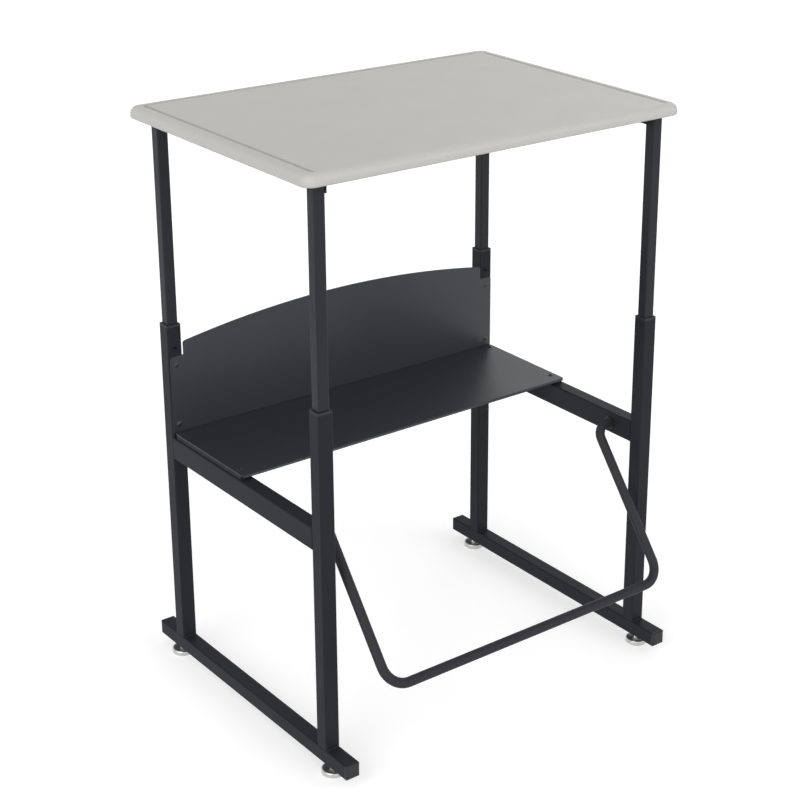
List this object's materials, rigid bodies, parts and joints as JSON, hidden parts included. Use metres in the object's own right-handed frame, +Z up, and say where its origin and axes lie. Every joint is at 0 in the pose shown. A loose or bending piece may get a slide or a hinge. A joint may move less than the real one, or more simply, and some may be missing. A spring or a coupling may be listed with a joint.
{
  "type": "study desk",
  "caption": "Stand-up study desk: round-edged top with a pencil groove, square telescoping legs, book shelf, arched back panel and swinging tube footrest.",
  "frame": {"origin": "on the floor, in the middle of the outline box of the desk as pictured", "axes": "+X to the user's right, +Y away from the user, towards the back panel, +Z up"},
  "size_m": [0.7112, 0.6147, 0.968],
  "materials": {
    "worktop": "foil-wrapped wood-fibre board, satin warm grey",
    "frame": "charcoal powder coat, semi-matt, fine texture",
    "plastic": "black moulded nylon, semi-matt",
    "black_steel": "black oxide steel fasteners",
    "zinc": "bright zinc-plated steel"
  },
  "bodies": {
    "base": {"lower_leg_front_left": "frame", "lower_leg_front_right": "frame", "lower_leg_rear_left": "frame", "lower_leg_rear_right": "frame", "leg_bushes": "plastic", "height_screws": "black_steel", "height_nuts": "frame", "foot_rail_left": "frame", "foot_rail_right": "frame", "foot_rail_caps": "plastic", "glide_nuts": "zinc", "side_rail_left": "frame", "side_rail_right": "frame", "packing_strips": "frame", "shelf": "frame", "shelf_screws": "frame", "back_panel": "frame", "back_panel_screws": "frame", "footrest_bushes": "plastic"},
    "top": {"desktop": "worktop", "upper_leg_front_left": "frame", "upper_leg_front_right": "frame", "upper_leg_rear_left": "frame", "upper_leg_rear_right": "frame", "top_bar_left": "frame", "top_bar_right": "frame", "desktop_screws": "zinc", "upper_leg_guides": "plastic"},
    "footrest": {"footrest_bar": "frame"},
    "glide_front_left": {"glide_front_left": "zinc"},
    "glide_front_right": {"glide_front_right": "zinc"},
    "glide_rear_left": {"glide_rear_left": "zinc"},
    "glide_rear_right": {"glide_rear_right": "zinc"}
  },
  "joints": [
    {"name": "height_slide", "type": "slide", "parent": "base", "child": "top", "axis": [0, 0, 1], "range_m": [-0.3048, 0.1016]},
    {"name": "footrest_swing", "type": "hinge", "parent": "base", "child": "footrest", "pos_m": [0, -0.1296, 0.3967], "axis": [1, 0, 0], "range_deg": [-52.2, 127.8]},
    {"name": "glide_front_left_screw", "type": "slide", "parent": "base", "child": "glide_front_left", "axis": [0, 0, 1], "range_m": [-0.01, 0]},
    {"name": "glide_front_right_screw", "type": "slide", "parent": "base", "child": "glide_front_right", "axis": [0, 0, 1], "range_m": [-0.01, 0]},
    {"name": "glide_rear_left_screw", "type": "slide", "parent": "base", "child": "glide_rear_left", "axis": [0, 0, 1], "range_m": [-0.01, 0]},
    {"name": "glide_rear_right_screw", "type": "slide", "parent": "base", "child": "glide_rear_right", "axis": [0, 0, 1], "range_m": [-0.01, 0]}
  ]
}
